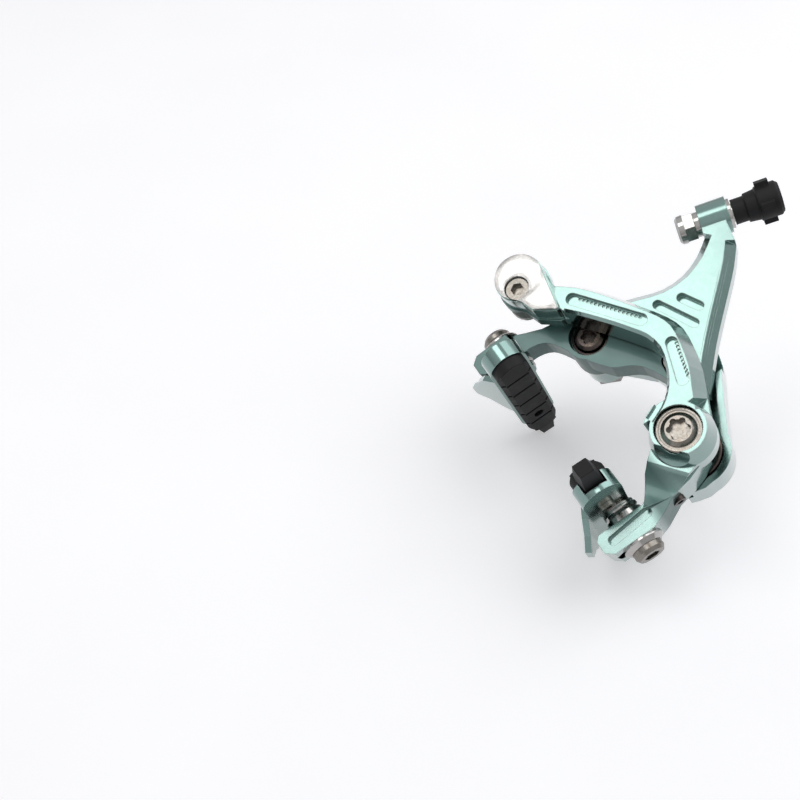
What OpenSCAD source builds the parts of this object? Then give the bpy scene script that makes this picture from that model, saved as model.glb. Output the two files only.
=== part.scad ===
// Dual-pivot caliper brake, drawn as it hangs on a bicycle: +Z up, the wheel
// runs along Y, the frame lies behind at +Y and -Y is the front.
// The origin is on the axis of the centre bolt, at the face that seats on the frame.

/* [Layout] */
// Distance of the two arm pivots below the centre bolt axis
pivot_drop = 14; // [12.5:0.5:16]
// Sideways distance from the middle plane to each arm pivot
pivot_x = 20.5; // [19.5:0.5:21.5]
// How far the hub pivot sits below the side pivot
hub_low = 3; // [2:0.5:4]
// Reach: distance of the pad bolts below the centre bolt axis
reach = 38.5; // [37.5:0.5:41]
// Half of the gap between the two rubber pads with the brake open
pad_gap = 16.5; // [15.5:0.25:17.5]
// Distance of the pad bolts behind the front of the arch
pad_depth = 15; // [14:0.5:16]

/* [Arch arm] */
// Thickness of the arch, front to rear
arm_t = 12; // [11:0.5:13]
// Height of the arch crown above the pivots
crown_h = 17.4; // [16.5:0.3:18.5]
// Width of the arch band at the crown
crown_w = 8.6; // [7.5:0.3:9.5]
// Width of the bevel along the outer edge of the arch
bevel_w = 2.7; // [2:0.2:3.2]
// Depth of the bevel along the outer edge of the arch
bevel_d = 7; // [5:0.5:8]
// Outer radius of the side pivot boss
boss_r = 8.6; // [8.2:0.2:9]
// Depth of the two slots milled in the face of the arch
slot_d = 1.6; // [0.8:0.2:2.4]

/* [Legs] */
// Sideways thickness of each leg at the pad bolt
leg_w = 6.6; // [6:0.2:7.2]
// Front to rear depth of each leg
leg_d = 12; // [10:0.5:13]
// Depth of the slot milled in the front of each leg
leg_slot_d = 1.8; // [1:0.2:2.6]

/* [Adjuster arm] */
// Running gap between the arch arm and the adjuster arm
arm_gap = 0.7; // [0.5:0.1:1]
// Thickness of the adjuster arm
web_t = 8; // [7:0.5:8.5]
// Distance of the collar above the pivots
collar_z = 44.2; // [42:0.5:47]
// Sideways distance of the collar from the middle plane
collar_x = 28; // [27:0.5:29.5]
// Lean of the adjuster away from upright
lean = 21.5; // [19:0.5:24]
// Outer radius of the collar
collar_r = 5.3; // [4.9:0.1:5.8]
// Length of the collar
collar_l = 8; // [7:0.5:9]
// Depth of the two slanted pockets in the web
pocket_d = 2.2; // [1:0.2:3]

/* [Bracket] */
// Thickness of the bracket plate
plate_t = 6; // [5:0.5:7]
// Height of the rim on the bracket plate
rim_h = 5; // [3.5:0.25:5.5]
// Wall of the rim on the bracket plate
rim_w = 1.8; // [1.4:0.1:2]
// Radius of the rear bosses
rear_boss_r = 6.3; // [6:0.1:6.6]
// Height of the rear bosses behind the plate
rear_boss_h = 3; // [2:0.5:4]

/* [Bolts] */
// Radius of the centre bolt
bolt_r = 3; // [2.8:0.1:3.1]
// Length of the centre bolt behind the seat on the frame
bolt_l = 30; // [26:1:34]
// Radius of the side pivot bolt
side_r = 3.5; // [3.2:0.1:3.7]
// Radius of the hub pivot bolt
hub_r = 3.5; // [3.2:0.1:3.7]
// Wall of the pivot bushes
bush_w = 1.1; // [0.9:0.1:1.3]
// Running clearance of a bolt in its bush
run_c = 0.05; // [0.04:0.01:0.08]
// Radius of the pad bolts
pad_bolt_r = 2.5; // [2.3:0.1:2.6]
// Radius of the cable anchor bolt
anchor_r = 2.5; // [2.3:0.1:2.7]
// Thickness of the thin pivot washers
washer_t = 0.8; // [0.6:0.1:1]
// Thickness of the washer between the bracket and the frame
seat_t = 3; // [2:0.5:4]

/* [Pads] */
// Length of the pad holder
holder_l = 47; // [44:1:50]
// Height of the pad holder
holder_h = 11.4; // [10.8:0.2:12]
// Thickness of the pad holder
holder_t = 5; // [4.6:0.2:5.4]
// Thickness of the rubber ahead of the holder
rubber_out = 3.4; // [3:0.2:3.8]
// Length of the tapered nose of the rubber
nose_l = 6.5; // [5:0.5:7.5]
// Slope of the pads, with the rear end lower
pad_tilt = 5; // [3:0.5:7]

/* [Quick release] */
// Radius of the round end of the lever
lever_r = 7.1; // [6.8:0.1:7.3]
// Thickness of the lever body
lever_t = 5.9; // [5.4:0.1:6.2]
// Thickness of the polished cover
cover_t = 1.1; // [0.8:0.1:1.4]

/* [Adjuster] */
// Radius of the threaded barrel
barrel_r = 2.7; // [2.5:0.1:2.9]
// Length of the rubber boot
boot_l = 13; // [11.5:0.5:14.5]
// Radius of the boot at its wide end
boot_r = 4.9; // [4.6:0.1:5.2]

/* [Hidden] */
$fn = 64;
e = 0.01;

teal = [0.45, 0.71, 0.66];
steel = [0.72, 0.70, 0.66];
chrome = [0.86, 0.87, 0.89];
dark = [0.17, 0.16, 0.16];
black = [0.09, 0.09, 0.10];

// Pivots, level zero being the height of the side pivot
side = [pivot_x, 0];
hub = [-pivot_x, -hub_low];

// Stations from front to rear
web_y0 = arm_t + arm_gap;
web_y1 = web_y0 + web_t;
hub_y0 = web_y0 + 2.9;
hub_y1 = web_y1 + rim_h + 0.3;
plate_y0 = hub_y1 + washer_t;
plate_y1 = plate_y0 + plate_t;
rear_y = plate_y1 + rear_boss_h;
seat_y = rear_y + seat_t;
rim_y0 = plate_y0 - rim_h;
leg_y0 = pad_depth - leg_d / 2 + 0.2;
leg_y1 = leg_y0 + leg_d;

// Pads and legs
stud_z = pivot_drop - reach;
leg_x = pad_gap + rubber_out + holder_t + 3.6;
leg_end = stud_z - 9.4;
crown_in = crown_h - crown_w;

// Cable anchor, the axis of the quick-release lever
anchor = [-pivot_x - 18.8, -10.8];
disc = [anchor[0] - 2.7, anchor[1] + 2.2];
tip = [anchor[0] + 12, anchor[1] + 5.2];
lever_y0 = 0.3;
lever_y1 = lever_y0 + lever_t;
end_y0 = lever_y1;
end_y1 = lever_y1 + 3.6;

// Smooth curve through points, n steps between neighbours
function curve(p, n) = concat([for (i = [0 : len(p) - 2]) for (k = [0 : n - 1])
    let (t = k / n, a = p[max(i - 1, 0)], b = p[i], c = p[i + 1],
        d = p[min(i + 2, len(p) - 1)])
    0.5 * (2 * b + (c - a) * t + (2 * a - 5 * b + 4 * c - d) * t * t
        + (3 * b - a - 3 * c + d) * t * t * t)], [p[len(p) - 1]]);

// Outer edge of the arch, left to right
arch_out = curve([[-36.4, -2.2], [-30, 4.2], [-22, 9.2], [-14, 13.4],
    [-8.2, crown_h - 1.2], [-3, crown_h], [3, crown_h - 1],
    [pivot_x - 10.5, crown_h - 3.2], [pivot_x - 5, 11.2],
    [pivot_x, boss_r]], 2);
// Inner edge of the arch, right to left
arch_in = curve([[pivot_x - 5.6, -4.2], [pivot_x - 7.3, 0], [pivot_x - 9.6, 3.2],
    [8, crown_in - 3.2], [4.6, crown_in - 1.4], [0, crown_in],
    [-4.6, crown_in - 0.6], [-8.2, crown_in - 2.4], [-12.5, 4],
    [-17, 1.2], [-21.5, -1.8], [-25, -4.4]], 2);

// Left edge of the web, collar to hub leg
web_left = curve([[-24.6, 38.6], [-21.4, 33.6], [-19.4, 27.5], [-19.7, 21],
    [-22, 15.4], [-25, 9], [-pivot_x - 7.3, 2], [-pivot_x - 9.3, -5],
    [-pivot_x - 10.6, -12], [-leg_x - leg_w, stud_z + 4.5]], 2);
// Right edge of the web, low corner to collar
web_right = curve([[pivot_x - 7.6, 12.6], [7.6, 17.4], [2.4, 22.6], [-3, 28.6],
    [-8.4, 34.8], [-12.6, 39.4], [-17.2, 43.6]], 2);
// Lower edge of the web behind the arch, hub to low corner
web_low = curve([[hub[0] + 6.5, -7], [-8.6, -3.4], [-6.4, 0], [-3.4, 3.4],
    [2, 5.8], [8, 7.8], [pivot_x - 8.6, 9.6]], 2);
// Inner edge of the left leg, pad bolt to hub
leg_in_l = curve([[-leg_x, stud_z + 6], [-28, -16], [-26.6, -13.4],
    [-24, -11.6], [hub[0], hub[1] - 7]], 2);

// Places what is drawn from the front of the arch and the height of the pivots
module low() translate([0, -seat_y, -pivot_drop]) children();

// Places what is drawn from the front of the arch on the centre bolt axis
module mid() translate([0, -seat_y, 0]) children();

// Extrudes an outline drawn in X and Z from y0 to y1
module plate(y0, y1) translate([0, y1, 0]) rotate([90, 0, 0])
    linear_extrude(height = y1 - y0) children();

// Round rod along Y at x, z
module rod(p, y0, y1, r) translate([p[0], y0, p[1]]) rotate([-90, 0, 0])
    cylinder(h = y1 - y0, r = r);

// Tube along Y at x, z
module ring(p, y0, y1, r, ri) difference() {
    rod(p, y0, y1, r);
    rod(p, y0 - 1, y1 + 1, ri);
}

// Slot with round ends between two points, depth along Y
module slot(a, b, r, y0, y1) {
    l = norm(b - a);
    plate(y0, y1) translate(a) rotate(atan2(b[1] - a[1], b[0] - a[0])) union() {
        circle(r = r);
        translate([l, 0]) circle(r = r);
        translate([0, -r]) square([l, 2 * r]);
    }
}

// Wedge with mitred corners that bevels an edge; the body lies on the right
// of the line p, w is the width on the front face and d the depth
function left(a, b) = [a[1] - b[1], b[0] - a[0]] / norm(b - a);
module bevel(p, w, d, y0) {
    n = len(p);
    m = [for (i = [0 : n - 1]) let (a = left(p[max(i - 1, 0)], p[max(i, 1)]),
        b = left(p[min(i, n - 2)], p[min(i + 1, n - 1)])) (a + b) / (1 + a * b)];
    sec = [[-w * (1 + 0.5 / d), -0.5], [0, d], [1.5, d], [1.5, -0.5]];
    polyhedron([for (i = [0 : n - 1]) for (c = sec)
        [p[i][0] + c[0] * m[i][0], y0 + c[1], p[i][1] + c[0] * m[i][1]]],
        concat([[1, 2, 3], [0, 1, 3], [4 * n - 2, 4 * n - 3, 4 * n - 4],
            [4 * n - 1, 4 * n - 2, 4 * n - 4]],
            [for (i = [0 : 4 : 4 * n - 8]) for (k = [0 : 3]) for (t = [0, 1])
            let (c = (k + 1) % 4)
            t == 0 ? [i + 4 + c, i + c, i + k] : [i + 4 + k, i + 4 + c, i + k]]));
}

// Ring of bevel round a boss at the front
module boss_bevel(p, r, w, d, y0) translate([p[0], y0, p[1]]) rotate([-90, 0, 0])
    rotate_extrude() polygon([[r - w * (1 + 0.5 / d), -0.5], [r + 4, -0.5],
        [r + 4, d], [r, d]]);

// Hexagon socket
module hex_socket(p, y0, y1, r) translate([p[0], y0, p[1]]) rotate([-90, 0, 0])
    cylinder(h = y1 - y0, r = r, $fn = 6);

// Six-lobe socket
module lobe_socket(p, y0, y1, r) {
    rod(p, y0, y1, r * 0.78);
    for (k = [0 : 5]) rod(p + r * 0.72 * [cos(60 * k), sin(60 * k)], y0, y1, r * 0.26);
}

// Bolt with a domed head on a thin flange; the flange bears at y
module dome_bolt(p, y, y_end, r, head_r, head_h) {
    rod(p, y - e, y_end, r);
    translate([p[0], y - head_h, p[1]]) rotate([-90, 0, 0])
        rotate_extrude() polygon([[0, 0], [head_r * 0.62, 0],
            [head_r * 0.8, head_h * 0.24], [head_r * 0.88, head_h * 0.62],
            [head_r, head_h * 0.66], [head_r, head_h], [0, head_h]]);
}

// Right leg outline below the side pivot
module leg_shape() polygon([[pivot_x - 3.6, -6], [pivot_x + 2.6, -12.5],
    [leg_x - 1.6, stud_z + 9], [leg_x, stud_z + 6], [leg_x, leg_end + 1.4],
    [leg_x + 1.3, leg_end], [leg_x + leg_w - 1.8, leg_end],
    [leg_x + leg_w, leg_end + 2.2], [leg_x + leg_w, stud_z + 5],
    [leg_x + leg_w - 1, stud_z + 8], [pivot_x + 10.9, -11],
    [pivot_x + 9.9, -5.5], [pivot_x + 7.4, 2]]);

// Slot that lets the pad bolt move up and down the leg
module pad_slot(s) translate([s * (leg_x - 2), pad_depth, 0]) rotate([0, s * 90, 0])
    for (z = [0]) {
        translate([s * -(stud_z + 2.6), 0, 0]) cylinder(h = leg_w + 4, r = pad_bolt_r + 0.2);
        translate([s * -(stud_z - 5), 0, 0]) cylinder(h = leg_w + 4, r = pad_bolt_r + 0.2);
        translate([s > 0 ? -(stud_z + 2.6) : (stud_z - 5), -pad_bolt_r - 0.2, 0])
            cube([7.6, 2 * pad_bolt_r + 0.4, leg_w + 4]);
    }

// Outline of the lever, turned by a about the anchor bolt and grown by g
module lever_shape(a, g) translate(anchor) rotate(a) translate(-anchor) {
    translate(disc) circle(r = lever_r + g);
    translate(tip) circle(r = 0.8 + g);
    polygon([disc + [0, lever_r + g], tip + [0.1, 0.8 + g],
        tip + [0.75 + g, -0.3 - g], tip + [-3.6, -5.4 - g],
        disc + [6.9, -3.6 - g], disc + [4.9, -5.1 - g]]);
}

module arch_arm() color(teal) low() difference() {
    union() {
        plate(0, arm_t) polygon(concat(arch_out, [[pivot_x + 2, 2]], arch_in,
            [[-27.5, -5], [-38, -3.6]]));
        rod(side, 0, arm_t, boss_r);
        plate(leg_y0, leg_y1) leg_shape();
        // Shoulder between the boss and the leg
        plate(1.2, leg_y0 + 1) polygon([[pivot_x - 5.4, -4], [pivot_x + 2, -13.5],
            [pivot_x + 9.5, -19], [pivot_x + 10.9, -11], [pivot_x + 8, 0]]);
        // Plate under the lever
        plate(end_y0, end_y1) union() {
            lever_shape(0, 0.5);
            polygon([[-37.6, -2.4], [-30, 1], [-24.5, -4], [-27, -6.5], [-46, -3.8]]);
        }
    }
    // Room for the side pivot bracket boss and its washer
    rod(side, arm_t, leg_y1 + 1, 7.5);
    // Counterbore and bore of the side pivot
    rod(side, -1, 4, 6.1);
    rod(side, 3, arm_t + 1, side_r + run_c + bush_w);
    // Bevels along the outer edge and round the boss
    bevel(arch_out, bevel_w, bevel_d, 0);
    difference() {
        boss_bevel(side, boss_r, 1.5, bevel_d, 0);
        translate([pivot_x - 20, -2, 0]) cube([16, 20, 20]);
        translate([-40, -2, -20]) cube([40 + pivot_x - 6, 20, 40]);
    }
    bevel(arch_in, 0.7, 1.2, 0);
    // Concave step from the boss back to the leg
    translate([pivot_x + 2, leg_y0 - 9.5, -17.2]) rotate([0, -36, 0])
        rotate([0, 90, 0]) cylinder(h = 40, r = 9.5, center = true);
    // Slots in the face
    slot([-26.4, -0.7], [-9.3, 9.9], 1.75, -1, slot_d);
    slot([1, 12.2], [pivot_x - 9.6, 8.4], 1.6, -1, slot_d);
    for (k = [0 : 9]) rod([1.4 + k, 13.2 - 0.33 * k], -1, slot_d + 0.5, 0.42);
    for (k = [0 : 15]) rod([-25.6 + k, 1.0 + 0.62 * k], -1, slot_d + 0.5, 0.42);
    // Room for the lever to swing down
    plate(-1, end_y0 + e) union() {
        translate(anchor) circle(r = 10.95 + lever_r - 7.1);
        lever_shape(0, 0.35);
    }
    // Bore of the anchor bolt
    rod(anchor, 0, 20, anchor_r + 0.15);
    // Slot and pocket of the pad bolt
    pad_slot(1);
    slot([leg_x + leg_w / 2, stud_z - 5.5], [leg_x + leg_w / 2 - 1, stud_z + 5.5], 1.4,
        leg_y0 - 1, leg_y0 + leg_slot_d);
    // Thread of the centring screw
    translate([leg_x - 8, pad_depth, -10.6]) rotate([0, 90, 0]) cylinder(h = 30, r = 1.75);
    // Seat of the link pin
    rod([0.4, 10.9], 4, arm_t + 1, 1.5);
}

module adjuster_arm() color(teal) low() difference() {
    union() {
        plate(web_y0, web_y1) polygon(concat(web_left,
            [[-leg_x - leg_w, leg_end + 2.2], [-leg_x - leg_w + 1.8, leg_end],
            [-leg_x - 1.3, leg_end], [-leg_x, leg_end + 1.4]],
            leg_in_l, web_low, web_right));
        // Hub
        rod(hub, web_y0, hub_y1, 7);
        // Lower leg, full depth
        plate(leg_y0, web_y0 + 1) polygon([[-leg_x, stud_z + 4.5], [-leg_x, leg_end + 1.4],
            [-leg_x - 1.3, leg_end], [-leg_x - leg_w + 1.8, leg_end],
            [-leg_x - leg_w, leg_end + 2.2], [-leg_x - leg_w, stud_z + 3]]);
        // Collar and its neck
        translate([-collar_x, web_y0 + web_t / 2, collar_z]) rotate([0, lean, 0])
            cylinder(h = collar_l, r = collar_r, center = true);
        plate(web_y0, web_y1) polygon([[-24.6, 38.6], [-17.2, 43.6],
            [-collar_x + 3.5, collar_z + 1.5], [-collar_x + 1, collar_z - 4.5]]);
    }
    // Bevels on both long edges of the web
    bevel([for (i = [len(web_left) - 8 : -1 : 0]) web_left[i]], 2.4, 3.2, web_y0);
    bevel([for (i = [len(web_right) - 1 : -1 : 0]) web_right[i]], 2.6, 3.4, web_y0);
    // Recess and bore of the hub
    rod(hub, web_y0 - 1, hub_y0, 5.7);
    rod(hub, web_y0, hub_y1 + 1, hub_r + run_c + bush_w);
    // Slanted pockets
    slot([-4.8, 21.2], [-15.6, 16.9], 1.35, web_y0 - 1, web_y0 + pocket_d);
    slot([-8, 25.1], [-13, 23], 1.35, web_y0 - 1, web_y0 + pocket_d);
    // Bore of the barrel
    translate([-collar_x, web_y0 + web_t / 2, collar_z]) rotate([0, lean, 0])
        cylinder(h = collar_l + 20, r = barrel_r + run_c * 2, center = true);
    // Track of the link bush
    slot([0.4, 10.9], [5.4, 10.1], 3.4, web_y0 - 1, web_y0 + 5.6);
    // Slot and pocket of the pad bolt
    pad_slot(-1);
    slot([-leg_x - leg_w / 2, stud_z - 5.5], [-leg_x - leg_w / 2, stud_z + 0.5], 1.4,
        leg_y0 - 1, leg_y0 + leg_slot_d);
}

// Half outline of the bracket, crown to lobe
lobe = curve([[0, 22.6], [5, 21], [11.3, 17], [16.5, 13.8], [pivot_x + 2, 10.2],
    [pivot_x + 6.4, 6.2], [pivot_x + 9.6, 1.4], [pivot_x + 10.6, -3.2],
    [pivot_x + 9, -8.4]], 2);
module pivot_bracket() color(teal) low() difference() {
    union() {
        plate(plate_y0, plate_y1) bracket_shape();
        // Rims round the outer side of each pivot
        plate(rim_y0, plate_y0 + e) difference() {
            bracket_shape();
            offset(delta = -rim_w) bracket_shape();
            translate([-7, -20]) square([14, 60]);
            translate([-pivot_x - 4, -40]) square([2 * pivot_x + 8, 38]);
            translate([-40, -50]) square([80, 43]);
            translate([-pivot_x, -10]) square([2 * pivot_x, 17]);
            translate(hub) circle(r = 7.5);
        }
        // Front boss of the side pivot
        rod(side, arm_t + washer_t, plate_y0 + 1, 6.6);
        // Rear bosses
        rod(side, plate_y0, rear_y, rear_boss_r);
        rod(hub, plate_y0, rear_y, rear_boss_r);
        rod([0, pivot_drop], plate_y0, rear_y, 8);
    }
    rod(side, 0, rear_y + 1, side_r);
    rod(hub, 0, rear_y + 1, hub_r);
    rod([0, pivot_drop], 0, rear_y + 1, bolt_r + 0.5);
}

module bracket_shape() difference() {
    union() {
        polygon(concat([for (i = [len(lobe) - 1 : -1 : 1]) [-lobe[i][0], lobe[i][1] - 1.2]],
            lobe, [[pivot_x, -4], [pivot_x - 7, 0], [9, 2.6], [4.5, 5.4], [0, 6.4],
            [-4.5, 5.2], [-9, 1.6], [-pivot_x + 6, -3], [-pivot_x, -8]]));
        translate(side) circle(r = 10.4);
        translate(hub) circle(r = rear_boss_r);
    }
}

module centre_bolt() color(steel) mid() {
    rod([0, 0], seat_y - e, seat_y + bolt_l, bolt_r);
    rod([0, 0], plate_y0 - 1, seat_y, bolt_r + 0.5);
    difference() {
        hex_socket([0, 0], plate_y0 - 4, plate_y0, 5.6);
        hex_socket([0, 0], plate_y0 - 5, plate_y0 - 2, 2.9);
    }
}

module centre_washer() color(steel) mid() ring([0, 0], rear_y, seat_y, 8, bolt_r + 0.6);

module side_pivot_bolt() color(steel) low() difference() {
    dome_bolt(side, 4, rear_y + 4, side_r, 5.6, 3.2);
    lobe_socket(side, 0, 3, 3.1);
}

module side_pivot_bush() color(chrome) low()
    ring(side, 4, arm_t, side_r + run_c + bush_w, side_r + run_c);

module side_pivot_washer() color(chrome) low()
    ring(side, arm_t, arm_t + washer_t, 6.9, side_r + 0.1);

module side_pivot_nut() color(steel) low() lock_nut(side, side_r);

module hub_pivot_nut() color(steel) low() lock_nut(hub, hub_r);

module lock_nut(p, r) difference() {
    hex_socket(p, rear_y, rear_y + 3.2, r + 2.6);
    rod(p, rear_y - 1, rear_y + 5, r);
}

module hub_pivot_bolt() color(dark) low() difference() {
    dome_bolt(hub, hub_y0, rear_y + 4, hub_r, 5.2, 2.7);
    lobe_socket(hub, hub_y0 - 4, hub_y0 - 0.9, 2.4);
}

module hub_bush() color(chrome) low()
    ring(hub, hub_y0, hub_y1, hub_r + run_c + bush_w, hub_r + run_c);

module hub_washer() color(chrome) low()
    ring(hub, hub_y1, plate_y0, 6.9, hub_r + 0.1);

link = [0.4, 10.9];
module link_pin() color(steel) low() rod(link, 5, web_y0 + 5, 1.5);

module link_bush() color(steel) low() ring(link, web_y0 + 0.4, web_y0 + 4.6, 3, 1.5);

// Spring wire: two turns round the side pivot boss, one leg under the head of
// the centre bolt and one hooked against the inside of the right leg
wire = 0.6;
coil_r = 7.5;
coil_y = web_y1 + 1.4;
hook = [leg_x - 2.2, stud_z + 8];
function turn(a) = [side[0] + coil_r * cos(a), side[1] + coil_r * sin(a)];
module wire_run(p, q, y) translate([p[0], y, p[1]])
    rotate([0, 90 - atan2(q[1] - p[1], q[0] - p[0]), 0])
        cylinder(h = norm(q - p), r = wire - 0.05);
module return_spring() color(dark) low() {
    translate([side[0], coil_y, side[1]]) rotate([-90, 0, 0]) rotate_extrude() union() {
        translate([coil_r, 0]) circle(r = wire);
        translate([coil_r, 1.9 * wire]) circle(r = wire);
    }
    wire_run(turn(150), [4.5, pivot_drop - 4.3], coil_y + 1.9 * wire);
    wire_run(turn(-60), hook, coil_y);
    translate([hook[0], coil_y, hook[1]]) sphere(r = wire);
    translate([0, coil_y, 0]) rod(hook, -6, 0, wire - 0.05);
}

module centring_screw() color(dark) low() difference() {
    translate([leg_x - 2.5, pad_depth, -10.6]) rotate([0, 90, 0]) cylinder(h = 6.2, r = 1.75);
    translate([leg_x + 2.4, pad_depth, -10.6]) rotate([0, 90, 0])
        cylinder(h = 4, r = 1.05, $fn = 6);
}

module quick_release_lever() color(teal) low() difference() {
    plate(lever_y0, lever_y1) lever_shape(0, 0);
    rod(anchor, -1, lever_y1 + 1, anchor_r + 0.15);
    rod(anchor, -1, lever_y0 + 2.4, 3.6);
    plate(lever_y1 - 0.9, lever_y1 - 0.5) difference() {
        lever_shape(0, 3);
        lever_shape(0, -0.35);
    }
}

module lever_cover() color(chrome) low() difference() {
    plate(lever_y0 - cover_t, lever_y0) lever_shape(0, -0.25);
    rod(anchor, -3, 1, 3.6);
}

module cable_anchor_bolt() color(steel) low() difference() {
    union() {
        rod(anchor, lever_y0 + 2.4 - e, end_y1 + 5.4, anchor_r);
        rod(anchor, lever_y0 - 0.3, lever_y0 + 2.4, 3.3);
    }
    hex_socket(anchor, -2, lever_y0 + 1.5, 1.9);
}

module clamp_washer() color(chrome) low()
    ring(anchor, end_y1, end_y1 + 1, 5.2, anchor_r + 0.15);

module anchor_nut() color(steel) low() difference() {
    hex_socket(anchor, end_y1 + 1, end_y1 + 2.2, 4.6);
    rod(anchor, end_y1, end_y1 + 6, anchor_r);
}

// Puts a shape drawn upwards from the collar centre onto the adjuster axis
module on_adjuster() translate([-collar_x, web_y0 + web_t / 2 - seat_y, collar_z - pivot_drop])
    rotate([0, lean, 0]) children();

module adjuster_barrel() color(chrome) on_adjuster() difference() {
    union() {
        translate([0, 0, -collar_l / 2 - 5.6]) cylinder(h = collar_l + 5.6 + 4, r = barrel_r);
        translate([0, 0, collar_l / 2 + 1.2]) cylinder(h = 2.8, r = 3.3);
    }
    translate([0, 0, -20]) cylinder(h = 40, r = 1.2);
    translate([0, 0, 0]) cylinder(h = 20, r = 2.15);
}

module adjuster_boot() color(black) on_adjuster() difference() {
    union() {
        translate([0, 0, collar_l / 2 + 1.2]) rotate_extrude() polygon([[0, 0],
            [boot_r - 1.3, 0], [boot_r - 1.3, boot_l * 0.26], [boot_r - 0.8, boot_l * 0.28],
            [boot_r - 0.5, boot_l * 0.5], [boot_r, boot_l * 0.53], [boot_r, boot_l - 0.9],
            [boot_r - 0.8, boot_l], [0, boot_l]]);
        for (k = [0 : 3]) rotate([0, 0, 90 * k + 45])
            translate([boot_r - 0.8, -1.2, collar_l / 2 + 1.2 + boot_l * 0.55])
            cube([2.0, 2.4, boot_l * 0.28]);
    }
    translate([0, 0, collar_l / 2 + 1]) cylinder(h = 3, r = 3.3);
    translate([0, 0, 0]) cylinder(h = 40, r = 2.6);
}

module adjuster_washer() color(chrome) on_adjuster() difference() {
    translate([0, 0, collar_l / 2]) cylinder(h = 0.9, r = 4.3);
    cylinder(h = 20, r = barrel_r + 0.15);
}

module adjuster_nut() color(chrome) on_adjuster() difference() {
    union() {
        translate([0, 0, -collar_l / 2 - 1.4]) cylinder(h = 1.4, r = 3.6);
        translate([0, 0, -collar_l / 2 - 4.2]) cylinder(h = 2.8, r = 4.3, $fn = 6);
        translate([0, 0, -collar_l / 2 - 6.4]) rotate_extrude()
            polygon([[0, 0], [3.4, 0], [4.1, 0.7], [4.2, 2.2], [0, 2.2]]);
    }
    translate([0, 0, -20]) cylinder(h = 20, r = barrel_r + 0.1);
}

// Pad parts are drawn for the right side: X outward from the rubber face,
// Y along the pad with the nose end at -Y, Z across, centred on the pad bolt.
module pad_place(s) translate([0, pad_depth - seat_y, stud_z - pivot_drop])
    rotate([-pad_tilt, 0, 0]) rotate([0, 0, s > 0 ? 0 : 180])
    translate([pad_gap, 0, 0]) children();

drop = -2.2;
holder_x = rubber_out;
module stadium(l, h) {
    translate([-l / 2 + h / 2, 0]) circle(r = h / 2);
    translate([l / 2 - h / 2, 0]) circle(r = h / 2);
    translate([-l / 2 + h / 2, -h / 2]) square([l - h, h]);
}
// Extrudes an outline drawn in Y and Z from x0 to x1
module slab(x0, x1) translate([x0, 0, 0]) rotate([90, 0, 90])
    linear_extrude(height = x1 - x0) children();

module pad_holder() color(teal) difference() {
    union() {
        translate([0, 0, drop]) slab(holder_x, holder_x + holder_t)
            stadium(holder_l, holder_h);
        // Boss of the pad bolt
        translate([holder_x + holder_t - 1, 0, 0]) rotate([0, 90, 0])
            cylinder(h = 1, r = 4.6);
        // Wheel guide
        translate([holder_x, 0, drop - holder_h / 2 + 1.2]) rotate([0, 33, 0])
            linear_extrude(height = 1.7)
            polygon([[0.4, -13], [5, -11], [9, -7.5], [13, -6.5], [13.2, -2], [10.6, 1.2],
            [9.4, 5], [6.4, 9.5], [0.4, 12]]);
    }
    // Channel of the rubber, open at the nose end
    translate([0, 0, drop]) slab(holder_x - 1, holder_x + holder_t - 1.6)
        stadium(holder_l - 3.2, holder_h - 2.8);
    translate([holder_x - 1, -holder_l / 2 - 1, drop - holder_h / 2 + 2.4])
        cube([holder_t - 0.6, 8, holder_h - 4.8]);
    // Thread of the pad bolt and of the pad screw
    translate([0, 0, 0]) rotate([0, 90, 0]) cylinder(h = 30, r = pad_bolt_r);
    translate([0, -11.5, drop]) rotate([0, 90, 0]) cylinder(h = 30, r = 1.5);
}

module pad_rubber() color(black) difference() {
    union() {
        translate([0, 0, drop]) slab(holder_x - e, holder_x + holder_t - 1.7)
            stadium(holder_l - 3.5, holder_h - 3.1);
        translate([0, 0, drop]) slab(0, holder_x) stadium(holder_l - 1, holder_h - 1.6);
        // Tapered nose that stands out of the open end
        translate([0, 0, drop]) rotate([90, 0, 0]) translate([0, 0, holder_l / 2 - 8])
            linear_extrude(height = 8 + nose_l) polygon([[0.6, -2.9], [2.2, -3.1],
            [holder_x + holder_t - 2, -2.9], [holder_x + holder_t - 2, 2.9], [2.2, 3.1],
            [0.6, 2.9]]);
    }
    // Cross grooves in the braking face
    for (y = [-15 : 7.5 : 15]) translate([-1, y - 0.45, drop - 8]) cube([2.2, 0.9, 16]);
    // Bevels of the braking face
    for (s = [-1, 1]) translate([0, 0, drop + s * (holder_h / 2 - 0.8)]) rotate([0, s * 32, 0])
        translate([-3, -40, -1]) cube([4, 80, 2]);
    translate([0, -11.5, drop]) rotate([0, 90, 0]) cylinder(h = 30, r = 1.55);
    translate([holder_x + 0.5, 0, 0]) rotate([0, 90, 0]) cylinder(h = 30, r = pad_bolt_r + 0.1);
}

module pad_screw() color(steel) difference() {
    union() {
        translate([holder_x + 1, -11.5, drop]) rotate([0, 90, 0])
            cylinder(h = holder_t, r = 1.5);
        translate([holder_x + holder_t, -11.5, drop]) rotate([0, 90, 0])
            cylinder(h = 1.1, r = 2.1);
    }
    translate([holder_x + holder_t, -11.5, drop]) rotate([0, 90, 0])
        cylinder(h = 4, r = 1.05, $fn = 6);
}

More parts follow.
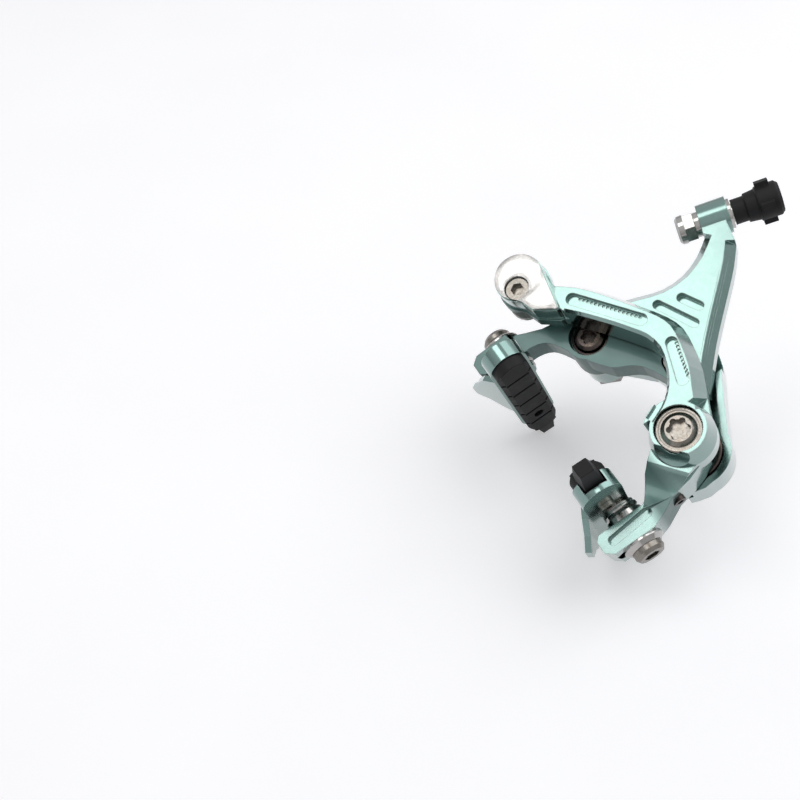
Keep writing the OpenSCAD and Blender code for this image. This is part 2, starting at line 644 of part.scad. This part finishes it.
stack = 3.6;
module pad_bolt() color(steel) {
    x1 = holder_x + holder_t + stack + leg_w + 1.8;
    translate([holder_x + 1.2, 0, 0]) rotate([0, 90, 0])
        cylinder(h = x1 - holder_x - 1.2 + e, r = pad_bolt_r);
    difference() {
        translate([x1, 0, 0]) rotate([0, 90, 0]) rotate_extrude()
            polygon([[0, 0], [4.3, 0], [4.3, 1.4], [3.6, 2.4], [0, 2.4]]);
        translate([x1 + 0.8, 0, 0]) rotate([0, 90, 0]) cylinder(h = 4, r = 2.3, $fn = 6);
    }
}

// Domed washer between the holder and its cup on the leg
module domed_washer() color(steel) difference() {
    translate([holder_x + holder_t, 0, 0]) rotate([0, 90, 0]) rotate_extrude()
        polygon([[0, 0], [5, 0], [5, 0.5], [3.9, stack / 2], [0, stack / 2]]);
    rotate([0, 90, 0]) cylinder(h = 60, r = pad_bolt_r + 0.15);
}

// Cupped washer inside the leg and the outer washer under the bolt head
module cup_washers() color(chrome) difference() {
    union() {
        translate([holder_x + holder_t + stack / 2, 0, 0]) rotate([0, 90, 0])
            cylinder(h = stack / 2, r = 5.2);
        translate([holder_x + holder_t + stack + leg_w, 0, 0]) rotate([0, 90, 0])
            rotate_extrude() polygon([[0, 0], [5.8, 0], [5.8, 0.6], [4.6, 1.8], [0, 1.8]]);
    }
    rotate([0, 90, 0]) cylinder(h = 60, r = pad_bolt_r + 0.15);
}

arch_arm();
adjuster_arm();
pivot_bracket();
centre_bolt();
centre_washer();
side_pivot_bolt();
side_pivot_bush();
side_pivot_washer();
side_pivot_nut();
hub_pivot_bolt();
hub_bush();
hub_washer();
hub_pivot_nut();
link_pin();
link_bush();
return_spring();
centring_screw();
quick_release_lever();
lever_cover();
cable_anchor_bolt();
clamp_washer();
anchor_nut();
adjuster_barrel();
adjuster_boot();
adjuster_washer();
adjuster_nut();
pad_place(1) pad_holder();  // right_pad_holder
pad_place(1) pad_rubber();  // right_pad_rubber
pad_place(1) pad_screw();  // right_pad_screw
pad_place(1) pad_bolt();  // right_pad_bolt
pad_place(1) domed_washer();  // right_domed_washer
pad_place(1) cup_washers();  // right_cup_washers
pad_place(-1) pad_holder();  // left_pad_holder
pad_place(-1) pad_rubber();  // left_pad_rubber
pad_place(-1) pad_screw();  // left_pad_screw
pad_place(-1) pad_bolt();  // left_pad_bolt
pad_place(-1) domed_washer();  // left_domed_washer
pad_place(-1) cup_washers();  // left_cup_washers
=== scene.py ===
import math

import bmesh
import bpy
from mathutils import Matrix, Vector
from mathutils.bvhtree import BVHTree


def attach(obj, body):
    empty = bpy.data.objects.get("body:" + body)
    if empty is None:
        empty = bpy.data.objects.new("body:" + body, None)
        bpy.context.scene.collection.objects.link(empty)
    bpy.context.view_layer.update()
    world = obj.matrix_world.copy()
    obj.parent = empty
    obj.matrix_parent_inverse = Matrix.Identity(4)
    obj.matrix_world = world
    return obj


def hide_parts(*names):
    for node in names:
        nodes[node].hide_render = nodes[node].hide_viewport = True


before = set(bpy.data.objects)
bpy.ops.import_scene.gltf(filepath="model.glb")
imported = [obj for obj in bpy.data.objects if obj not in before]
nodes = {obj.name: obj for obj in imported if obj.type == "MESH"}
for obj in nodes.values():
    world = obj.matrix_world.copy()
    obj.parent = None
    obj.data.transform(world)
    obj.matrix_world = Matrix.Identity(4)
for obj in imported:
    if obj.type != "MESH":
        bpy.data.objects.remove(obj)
scene = bpy.context.scene


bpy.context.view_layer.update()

# ---------------------------------------------------------------- measures
MM = 0.001
SEAT_Y = 38.8          # the frame face lies this far behind the front of the arch
DROP = 14.0            # the arm pivots lie this far below the centre bolt
SIDE_PIVOT_X = 20.5    # the side pivot lies this far to the right of the centre bolt
REARWARD = Vector((0, 1, 0))


def at(x, y, z):
    """Point given in millimetres from the front of the arch at pivot height."""
    return Vector((x, y - SEAT_Y, z - DROP)) * MM


# ---------------------------------------------------------------- camera
CAM_PLACE = Vector((0.1016, -0.2847, -0.0236))
CAM_RIGHT = Vector((0.4699, 0.4063, 0.7837)).normalized()
CAM_LOOK = Vector((-0.4760, 0.8643, -0.1626)).normalized()
CAM_UP = CAM_RIGHT.cross(CAM_LOOK).normalized()

cam_data = bpy.data.cameras.new("camera")
cam_data.sensor_width = 36.0
cam_data.lens = 45.0
cam_data.clip_start = 0.01
cam_data.clip_end = 20.0
cam = bpy.data.objects.new("camera", cam_data)
scene.collection.objects.link(cam)
turn = Matrix((CAM_RIGHT, CAM_UP, -CAM_LOOK)).transposed().to_4x4()
cam.matrix_world = Matrix.Translation(CAM_PLACE) @ turn
scene.camera = cam

# ---------------------------------------------------------------- node tools
BEVEL_SAMPLES = 6
# How far the rounded normal agrees with the true one on a full edge and on no edge
EDGE_FULL, EDGE_NONE = 0.72, 0.995


class Shader:
    """Small helper that builds a material from nodes."""

    def __init__(self, name, base, rough, metal=0.0, specular=0.5):
        self.mat = bpy.data.materials.new(name)
        self.mat.use_nodes = True
        self.mat.diffuse_color = (*base, 1.0)
        self.tree = self.mat.node_tree
        self.bsdf = self.tree.nodes["Principled BSDF"]
        self.set("Base Color", base)
        self.set("Roughness", rough)
        self.set("Metallic", metal)
        self.set("Specular IOR Level", specular)

    def node(self, kind):
        return self.tree.nodes.new(kind)

    def link(self, output, socket):
        self.tree.links.new(output, socket)

    def feed(self, socket, value):
        """Link an output to the socket, or give it a number or a colour."""
        if isinstance(value, bpy.types.NodeSocket):
            self.link(value, socket)
        elif isinstance(value, tuple):
            socket.default_value = (*value, 1.0)
        else:
            socket.default_value = value

    def set(self, name, value):
        self.feed(self.bsdf.inputs[name], value)

    def coords(self):
        return self.node("ShaderNodeTexCoord").outputs["Object"]

    def noise(self, scale, detail, rough):
        n = self.node("ShaderNodeTexNoise")
        n.inputs["Scale"].default_value = scale
        n.inputs["Detail"].default_value = detail
        n.inputs["Roughness"].default_value = rough
        self.link(self.coords(), n.inputs["Vector"])
        return n.outputs["Fac"]

    def span(self, value, low, high, at_low, at_high):
        """Stretch the values from low to high over those from at_low to at_high."""
        n = self.node("ShaderNodeMapRange")
        n.inputs["From Min"].default_value = low
        n.inputs["From Max"].default_value = high
        n.inputs["To Min"].default_value = at_low
        n.inputs["To Max"].default_value = at_high
        self.link(value, n.inputs["Value"])
        return n.outputs["Result"]

    def mix(self, factor, a, b):
        n = self.node("ShaderNodeMix")
        n.data_type = "RGBA"
        # A colour mix has its factor first and its two colours at 6 and 7
        for number, value in ((0, factor), (6, a), (7, b)):
            self.feed(n.inputs[number], value)
        return n.outputs[2]

    def maths(self, operation, a, b):
        n = self.node("ShaderNodeMath")
        n.operation = operation
        self.feed(n.inputs[0], a)
        self.feed(n.inputs[1], b)
        return n.outputs["Value"]

    def bevel(self, radius):
        """Normal of the surface with its edges rounded."""
        n = self.node("ShaderNodeBevel")
        n.samples = BEVEL_SAMPLES
        n.inputs["Radius"].default_value = radius
        return n.outputs["Normal"]

    def edge(self, radius):
        """1 on edges and corners, 0 on open faces."""
        dot = self.node("ShaderNodeVectorMath")
        dot.operation = "DOT_PRODUCT"
        self.link(self.bevel(radius), dot.inputs[0])
        self.link(self.node("ShaderNodeNewGeometry").outputs["Normal"], dot.inputs[1])
        return self.span(dot.outputs["Value"], EDGE_FULL, EDGE_NONE, 1.0, 0.0)

    def relief(self, radius, height, distance, strength):
        """Round the edges and lay a fine relief over them, in the shading only."""
        n = self.node("ShaderNodeBump")
        n.inputs["Strength"].default_value = strength
        n.inputs["Distance"].default_value = distance
        self.link(height, n.inputs["Height"])
        self.link(self.bevel(radius), n.inputs["Normal"])
        self.link(n.outputs["Normal"], self.bsdf.inputs["Normal"])


def sight_rays(tree):
    """1 for rays that show the background: to the camera, in metal and through glass."""
    light_path = tree.nodes.new("ShaderNodeLightPath")
    seen = light_path.outputs["Is Camera Ray"]
    for kind in ("Is Glossy Ray", "Is Transmission Ray"):
        either = tree.nodes.new("ShaderNodeMath")
        either.operation = "MAXIMUM"
        tree.links.new(seen, either.inputs[0])
        tree.links.new(light_path.outputs[kind], either.inputs[1])
        seen = either.outputs["Value"]
    return seen


# ---------------------------------------------------------------- materials
TEAL = (0.152, 0.262, 0.240)
TEAL_DEEP = (0.128, 0.234, 0.214)
# Pale tone for fine grain and for the edges, which are partly rubbed wear and partly
# painted highlight
TEAL_PALE_WEAR_AND_HIGHLIGHT = (0.46, 0.60, 0.57)
# Painted shade: the deeper tone of the unpolished band, standing in for the shade in the
# hollows
TEAL_PAINTED_SHADE = (0.085, 0.150, 0.140)
MATT_AND_SHADE_FADE = 0.0016     # half the width over which polish turns into the unpolished band with its painted shade
MATT_ROUGHER = 0.24
MATT_COAT = 0.25
DUST_TONE = 0.018      # dust lifts black rubber by this much


def anodised(name, rough, matt_and_shade_band=None):
    """Glossy dyed aluminium: cloudy tone, fine grain, pale edges that are partly rubbed
    wear and partly painted highlight.

    A band gives two heights in millimetres. Between them the metal was left as the
    cutter made it, unpolished, and its tone is deepened as painted shade for the hollows
    there.
    """
    s = Shader(name, TEAL, rough, metal=1.0)
    s.set("Coat Weight", 1.0)
    s.set("Coat Roughness", 0.10)
    s.set("Coat IOR", 1.7)
    clouds = s.noise(scale=55.0, detail=3.0, rough=0.55)
    grain = s.noise(scale=900.0, detail=5.0, rough=0.7)
    patches = s.noise(scale=300.0, detail=4.0, rough=0.6)
    smears = s.noise(scale=150.0, detail=5.0, rough=0.6)
    tone = s.mix(s.span(clouds, 0.3, 0.7, 0.0, 1.0), TEAL_DEEP, TEAL)
    tone = s.mix(s.span(grain, 0.45, 0.8, 0.0, 0.08), tone, TEAL_PALE_WEAR_AND_HIGHLIGHT)
    # Pale edges in patches: rubbed wear, and with it a painted edge highlight
    rubbed_and_highlight = s.maths("MULTIPLY", s.edge(0.00035), s.span(patches, 0.35, 0.7, 0.15, 0.7))
    tone = s.mix(rubbed_and_highlight, tone, TEAL_PALE_WEAR_AND_HIGHLIGHT)
    gloss = s.span(smears, 0.3, 0.75, rough - 0.03, rough + 0.04)
    if matt_and_shade_band:
        split = s.node("ShaderNodeSeparateXYZ")
        s.link(s.coords(), split.inputs["Vector"])
        height = split.outputs["Z"]
        low, high = (h * MM for h in matt_and_shade_band)
        above = s.span(height, low - MATT_AND_SHADE_FADE, low + MATT_AND_SHADE_FADE, 0.0, 1.0)
        below = s.span(height, high - MATT_AND_SHADE_FADE, high + MATT_AND_SHADE_FADE, 1.0, 0.0)
        unpolished_and_painted_shade = s.maths("MULTIPLY", above, below)
        # Painted shade: inside the band the tone goes deeper
        tone = s.mix(unpolished_and_painted_shade, tone, TEAL_PAINTED_SHADE)
        gloss = s.maths("ADD", gloss, s.maths("MULTIPLY", unpolished_and_painted_shade, MATT_ROUGHER))
        s.set("Coat Weight", s.span(unpolished_and_painted_shade, 0.0, 1.0, 1.0, MATT_COAT))
    s.set("Base Color", tone)
    s.set("Roughness", gloss)
    s.relief(0.0003, grain, distance=0.00001, strength=0.2)
    return s.mat


SOIL = (0.30, 0.22, 0.15)


def metal(name, base, rough, spread, dirt, edge_radius=0.0002):
    """Bare metal: fine grain in its gloss, soil in patches."""
    s = Shader(name, base, rough, metal=1.0)
    grain = s.noise(scale=1500.0, detail=4.0, rough=0.6)
    soil = s.noise(scale=170.0, detail=5.0, rough=0.7)
    s.set("Base Color", s.mix(s.span(soil, 0.5, 0.8, 0.0, dirt), base, SOIL))
    s.set("Roughness", s.span(grain, 0.3, 0.7, rough - spread, rough + spread))
    s.relief(edge_radius, grain, distance=0.00001, strength=0.25)
    return s.mat


def rubber(name, base, rough):
    """Moulded rubber: fine grit, with a little pale dust."""
    s = Shader(name, base, rough, specular=0.25)
    grit = s.noise(scale=2600.0, detail=3.0, rough=0.6)
    dust = s.noise(scale=120.0, detail=5.0, rough=0.65)
    pale = tuple(c + DUST_TONE for c in base)
    s.set("Base Color", s.mix(s.span(dust, 0.45, 0.8, 0.0, 0.7), base, pale))
    s.set("Roughness", s.span(dust, 0.3, 0.7, rough - 0.08, rough + 0.12))
    s.relief(0.0004, grit, distance=0.00003, strength=0.5)
    return s.mat


mat_bracket = anodised("anodised_bracket", 0.21)
# Painted shade lies in the bands given to the arch and the rear arm, where the metal is
# also rougher and less coated
mat_arch = anodised("anodised_arch", 0.21, matt_and_shade_band=(-31.5, -24.0))
mat_rear_arm = anodised("anodised_rear_arm", 0.21, matt_and_shade_band=(-60.0, -5.0))
mat_small = anodised("anodised_small_parts", 0.18)
mat_cover = metal("polished_cover", (0.52, 0.51, 0.50), 0.12, spread=0.05, dirt=0.12,
                  edge_radius=0.0024)
mat_polished = metal("polished_steel", (0.45, 0.44, 0.43), 0.14, spread=0.06, dirt=0.3)
mat_stainless = metal("stainless_steel", (0.235, 0.220, 0.200), 0.27, spread=0.08, dirt=0.4)
mat_barrel = metal("threaded_steel", (0.42, 0.42, 0.41), 0.16, spread=0.07, dirt=0.4)
mat_dark = metal("blackened_steel", (0.07, 0.058, 0.055), 0.30, spread=0.1, dirt=0.4)
mat_rubber = rubber("black_rubber", (0.008, 0.008, 0.009), 0.55)

# Nodes that aren't named here are stainless steel
PAINT = {
    mat_bracket: ("pivot_bracket",),
    mat_arch: ("arch_arm",),
    mat_rear_arm: ("adjuster_arm",),
    mat_small: ("quick_release_lever", "right_pad_holder", "left_pad_holder"),
    mat_cover: ("lever_cover",),
    mat_polished: (
        "clamp_washer", "side_pivot_washer", "hub_washer", "side_pivot_bush", "hub_bush",
        "adjuster_washer", "right_cup_washers", "left_cup_washers",
        "right_domed_washer", "left_domed_washer"),
    mat_barrel: ("adjuster_barrel", "adjuster_nut"),
    mat_dark: ("hub_pivot_bolt", "return_spring", "centring_screw"),
    mat_rubber: ("adjuster_boot", "right_pad_rubber", "left_pad_rubber"),
}
PAINT_OF = {name: mat for mat, names in PAINT.items() for name in names}
for name, obj in nodes.items():
    obj.data.materials.clear()
    obj.data.materials.append(PAINT_OF.get(name, mat_stainless))

# ---------------------------------------------------------------- mesh tools
# Lengths in millimetres, where nothing else is said
SUNK = 0.12            # a thread's foot lies this deep in its rod
RIDGE_HALF = 0.45      # half the width of a thread's foot, as a share of its pitch
THREAD_STEPS = 30      # steps in one turn of a thread
RING_STEPS = 64
LINE_STEPS = 4         # steps between two points of a cutter line
LINE_FADE = 3          # steps over which a cutter line rises at its ends
LINE_WIDTH = 0.22
LINE_HEIGHT = 0.07
LINE_SUNK = 0.05
NOSE_END = 0.0022      # the end face of a nose leans by less than this, in metres
NOSE_TAPER = 0.34      # share of the way to its middle that the end face is drawn in


def new_piece(name, verts, faces, mat, body):
    mesh = bpy.data.meshes.new(name)
    mesh.from_pydata([tuple(v) for v in verts], [], faces)
    mesh.update()
    bm = bmesh.new()
    bm.from_mesh(mesh)
    bmesh.ops.recalc_face_normals(bm, faces=bm.faces)
    bm.to_mesh(mesh)
    bm.free()
    for p in mesh.polygons:
        p.use_smooth = True
    obj = bpy.data.objects.new(name, mesh)
    scene.collection.objects.link(obj)
    mesh.materials.append(mat)
    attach(obj, body)


def swept_faces(rows, width, closed=False):
    """Faces of a closed profile of so many points that is swept through the rows."""
    faces = []
    for i in range(rows if closed else rows - 1):
        a, b = width * i, width * ((i + 1) % rows)
        for j in range(width):
            k = (j + 1) % width
            faces.append((a + j, a + k, b + k, b + j))
    if not closed:
        last = width * (rows - 1)
        faces.append(tuple(range(width)))
        faces.append(tuple(reversed(range(last, last + width))))
    return faces


def spoke(along, angle):
    """Direction at right angles to the axis, turned round it by the angle."""
    side = along.orthogonal().normalized()
    return side * math.cos(angle) + along.cross(side) * math.sin(angle)


def thread(name, centre, along, radius, start, end, pitch, depth, mat, body):
    """Helical ridge of triangular section wound on a rod, tapering in at both ends."""
    total = int((end - start) / pitch * THREAD_STEPS)
    verts = []
    for i in range(total + 1):
        out = spoke(along, 2 * math.pi * i / THREAD_STEPS)
        rise = start + pitch * i / THREAD_STEPS
        crest = depth * min(1.0, i / THREAD_STEPS, (total - i) / THREAD_STEPS)
        for step, r in ((-RIDGE_HALF, -SUNK), (0.0, crest), (RIDGE_HALF, -SUNK)):
            verts.append(centre + (along * (rise + step * pitch) + out * (radius + r)) * MM)
    new_piece(name, verts, swept_faces(total + 1, 3), mat, body)


def turned_ring(name, centre, along, profile, mat, body):
    """Closed profile of (radius, depth) points turned once round an axis."""
    verts = []
    for i in range(RING_STEPS):
        out = spoke(along, 2 * math.pi * i / RING_STEPS)
        verts += [centre + (out * r + along * d) * MM for r, d in profile]
    new_piece(name, verts, swept_faces(RING_STEPS, len(profile), closed=True), mat, body)


def ray_tree(name):
    obj = nodes[name]
    verts = [obj.matrix_world @ v.co for v in obj.data.vertices]
    return BVHTree.FromPolygons(verts, [tuple(p.vertices) for p in obj.data.polygons])


def ridge_on(name, tree, path, mat, body):
    """Thin raised line on the front of a surface, along a path of (x, z) points."""
    rows = []
    for (x0, z0), (x1, z1) in zip(path, path[1:]):
        for k in range(LINE_STEPS):
            t = k / LINE_STEPS
            ahead = at(x0 + (x1 - x0) * t, -20, z0 + (z1 - z0) * t)
            place, normal, _, _ = tree.ray_cast(ahead, REARWARD)
            if place is not None:
                rows.append((place, -normal if normal.y > 0 else normal))
    end = len(rows) - 1
    verts = []
    for i, (place, normal) in enumerate(rows):
        before, after = rows[max(i - 1, 0)][0], rows[min(i + 1, end)][0]
        half = (after - before).cross(normal).normalized() * LINE_WIDTH / 2
        crest = LINE_HEIGHT * min(1.0, i / LINE_FADE, (end - i) / LINE_FADE)
        verts += [place + (half - normal * LINE_SUNK) * MM,
                  place + normal * (crest * MM),
                  place + (-half - normal * LINE_SUNK) * MM]
    new_piece(name, verts, swept_faces(len(rows), 3), mat, body)


def tapered_rubber(name, node, toward_front, body):
    """The pad's rubber with the end of its nose drawn in, as moulded pads have it."""
    source = nodes[node]
    piece = source.copy()
    piece.data = source.data.copy()
    piece.name = piece.data.name = name
    scene.collection.objects.link(piece)
    place = [source.matrix_world @ v.co for v in source.data.vertices]
    tip_y = min(p.y for p in place) if toward_front else max(p.y for p in place)
    ends = [i for i, p in enumerate(place) if abs(p.y - tip_y) < NOSE_END]
    middle = sum((place[i] for i in ends), Vector()) / len(ends)
    back = source.matrix_world.inverted()
    for i in ends:
        inward = Vector((middle.x - place[i].x, 0, middle.z - place[i].z))
        piece.data.vertices[i].co = back @ (place[i] + inward * NOSE_TAPER)
    piece.data.update()
    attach(piece, body)
    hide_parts(node)


# ---------------------------------------------------------------- detail pieces
# Cable adjuster: axis through the collar, leaning out at the top
COLLAR = at(-28.0, 16.7, 44.2)
LEAN = math.radians(21.5)
UP_BARREL = Vector((math.sin(LEAN), 0, math.cos(LEAN)))
COLLAR_HALF = 4.0
thread("barrel_thread", COLLAR, UP_BARREL, radius=2.7, start=-COLLAR_HALF - 1.3,
       end=-COLLAR_HALF + 0.6, pitch=0.5, depth=0.10, mat=mat_barrel, body="barrel")
thread("centre_bolt_thread", at(0, SEAT_Y, DROP), REARWARD, radius=3.0, start=12.0,
       end=29.3, pitch=1.0, depth=0.12, mat=mat_stainless, body="bracket")

# Dished flange under the head of the side pivot bolt, which fills the recess of the boss
FLANGE = ((3.4, 0.95), (3.75, 1.35), (4.4, 1.75), (5.1, 1.85), (5.7, 1.55), (5.95, 1.7),
          (5.95, 2.6), (3.4, 2.6))
turned_ring("side_bolt_flange", at(SIDE_PIVOT_X, 0, 0), REARWARD, FLANGE, mat_stainless,
            "bracket")

tapered_rubber("right_rubber_tapered", "right_pad_rubber", True, "arch")
tapered_rubber("left_rubber_tapered", "left_pad_rubber", False, "adjuster")

# Cutter lines along the slanted right face of the adjuster web, every second one shorter
WEB_EDGE = tuple(Vector(p) for p in (
    (5.6, 17.8), (1.4, 22.2), (-3.6, 27.8), (-8.8, 33.8), (-12.8, 38.2), (-15.8, 41.4)))
LINES = 4
LINE_GAP = 0.5
web = ray_tree("adjuster_arm")
downhill = (WEB_EDGE[0] - WEB_EDGE[-1]).normalized()
inward = Vector((downhill.y, -downhill.x))
for k in range(LINES):
    line = [p + inward * LINE_GAP * (k + 1) for p in WEB_EDGE[:len(WEB_EDGE) - k % 2]]
    ridge_on(f"cutter_line_{k + 1}", web, line, mat_bracket, "adjuster")

# ---------------------------------------------------------------- table


def corners(names):
    return [nodes[n].matrix_world @ v.co for n in names for v in nodes[n].data.vertices]


# The brake lies on the end of its centre bolt and on both pads. From a first guess, the
# table is laid again and again through the lowest point of each, which settles soon.
FEET = [corners(names) for names in (
    ("centre_bolt",),
    ("left_pad_holder", "left_pad_rubber"),
    ("right_pad_holder", "right_pad_rubber"))]
FIRST_GUESS = Vector((0, -0.85, 0.53))
SETTLING = 12
floor_up = FIRST_GUESS.normalized()
for _ in range(SETTLING):
    tip, left, right = (min(foot, key=lambda p: p.dot(floor_up)) for foot in FEET)
    floor_up = (left - tip).cross(right - tip).normalized()
    if floor_up.y > 0:
        floor_up.negate()
lowest = min(p.dot(floor_up) for p in corners(nodes))

FLOOR_SIZE = 3.0
FLOOR_GAP = 0.0002
floor_mesh = bpy.data.meshes.new("floor")
bm = bmesh.new()
bmesh.ops.create_grid(bm, x_segments=1, y_segments=1, size=FLOOR_SIZE)
bm.to_mesh(floor_mesh)
bm.free()
floor = bpy.data.objects.new("floor", floor_mesh)
scene.collection.objects.link(floor)
floor.matrix_world = (Matrix.Translation(floor_up * (lowest - FLOOR_GAP))
                      @ floor_up.to_track_quat("Z", "Y").to_matrix().to_4x4())

FLOOR_TONE = (0.84, 0.835, 0.855)
FLOOR_PALE = (0.85, 0.845, 0.86)
FLOOR_GREY = (0.82, 0.815, 0.845)
FLOOR_LIFT = 0.36
table = Shader("floor", FLOOR_TONE, 0.8, specular=0.25)
smudge = table.span(table.noise(scale=9.0, detail=4.0, rough=0.6), 0.35, 0.7, 0.0, 1.0)
table.set("Base Color", table.mix(smudge, FLOOR_PALE, FLOOR_GREY))
# The camera, metal and glass see the table lifted towards white, shadow kept
lift = table.node("ShaderNodeEmission")
lift.inputs["Color"].default_value = (1.0, 1.0, 1.0, 1.0)
table.link(table.maths("MULTIPLY", sight_rays(table.tree), FLOOR_LIFT),
           lift.inputs["Strength"])
lifted = table.node("ShaderNodeAddShader")
table.link(table.bsdf.outputs[0], lifted.inputs[0])
table.link(lift.outputs[0], lifted.inputs[1])
# Seen from behind, the table is clear, so the back of the brake shows
one_sided = table.node("ShaderNodeMixShader")
table.link(table.node("ShaderNodeNewGeometry").outputs["Backfacing"], one_sided.inputs[0])
table.link(lifted.outputs[0], one_sided.inputs[1])
table.link(table.node("ShaderNodeBsdfTransparent").outputs[0], one_sided.inputs[2])
table.link(one_sided.outputs[0], table.tree.nodes["Material Output"].inputs["Surface"])
floor_mesh.materials.append(table.mat)

# ---------------------------------------------------------------- light
CENTRE = Vector((-0.005, -0.025, -0.012))
FACE = Vector((0, -1, 0))
REACH = 0.9


def lamp(name, way, size, radiance, tone):
    """Square lamp that faces the brake, as bright as a white card of this radiance."""
    data = bpy.data.lights.new(name, "AREA")
    data.shape = "SQUARE"
    data.size = size
    data.energy = radiance * math.pi * size * size
    data.color = tone
    obj = bpy.data.objects.new(name, data)
    scene.collection.objects.link(obj)
    obj.location = CENTRE + way.normalized() * REACH
    obj.rotation_mode = "QUATERNION"
    obj.rotation_quaternion = (-way).to_track_quat("-Z", "Y")


# The soft box stands where the flat front faces mirror it to the camera
sight = (CENTRE - CAM_PLACE).normalized()
mirror_way = sight - 2 * sight.dot(FACE) * FACE
lamp("soft_box", mirror_way, size=0.38, radiance=3.1, tone=(1.0, 0.99, 0.97))
lamp("overhead", floor_up + 0.6 * CAM_RIGHT + 0.35 * CAM_UP, size=0.9, radiance=1.5,
     tone=(0.97, 0.98, 1.0))

# The world lights the brake softly
WORLD_LIGHT = 0.35
# Background that is seen: grey near the height of the table, white above
LOW_SKY, HIGH_SKY = 0.05, 0.55
GREY_SKY, WHITE_SKY = 0.62, 1.0
world = bpy.data.worlds.new("world")
scene.world = world
world.use_nodes = True
sky = world.node_tree
light = sky.nodes["Background"]
light.inputs["Color"].default_value = (0.93, 0.94, 0.96, 1.0)
light.inputs["Strength"].default_value = WORLD_LIGHT
seen = sky.nodes.new("ShaderNodeBackground")
way = sky.nodes.new("ShaderNodeTexCoord")
height = sky.nodes.new("ShaderNodeVectorMath")
height.operation = "DOT_PRODUCT"
height.inputs[1].default_value = floor_up
fade = sky.nodes.new("ShaderNodeMapRange")
fade.inputs["From Min"].default_value = LOW_SKY
fade.inputs["From Max"].default_value = HIGH_SKY
fade.inputs["To Min"].default_value = GREY_SKY
fade.inputs["To Max"].default_value = WHITE_SKY
pick = sky.nodes.new("ShaderNodeMixShader")
for output, socket in (
        (way.outputs["Generated"], height.inputs[0]),
        (height.outputs["Value"], fade.inputs["Value"]),
        (fade.outputs["Result"], seen.inputs["Strength"]),
        (sight_rays(sky), pick.inputs[0]),
        (light.outputs[0], pick.inputs[1]),
        (seen.outputs[0], pick.inputs[2]),
        (pick.outputs[0], sky.nodes["World Output"].inputs["Surface"])):
    sky.links.new(output, socket)

scene.view_settings.view_transform = "Standard"
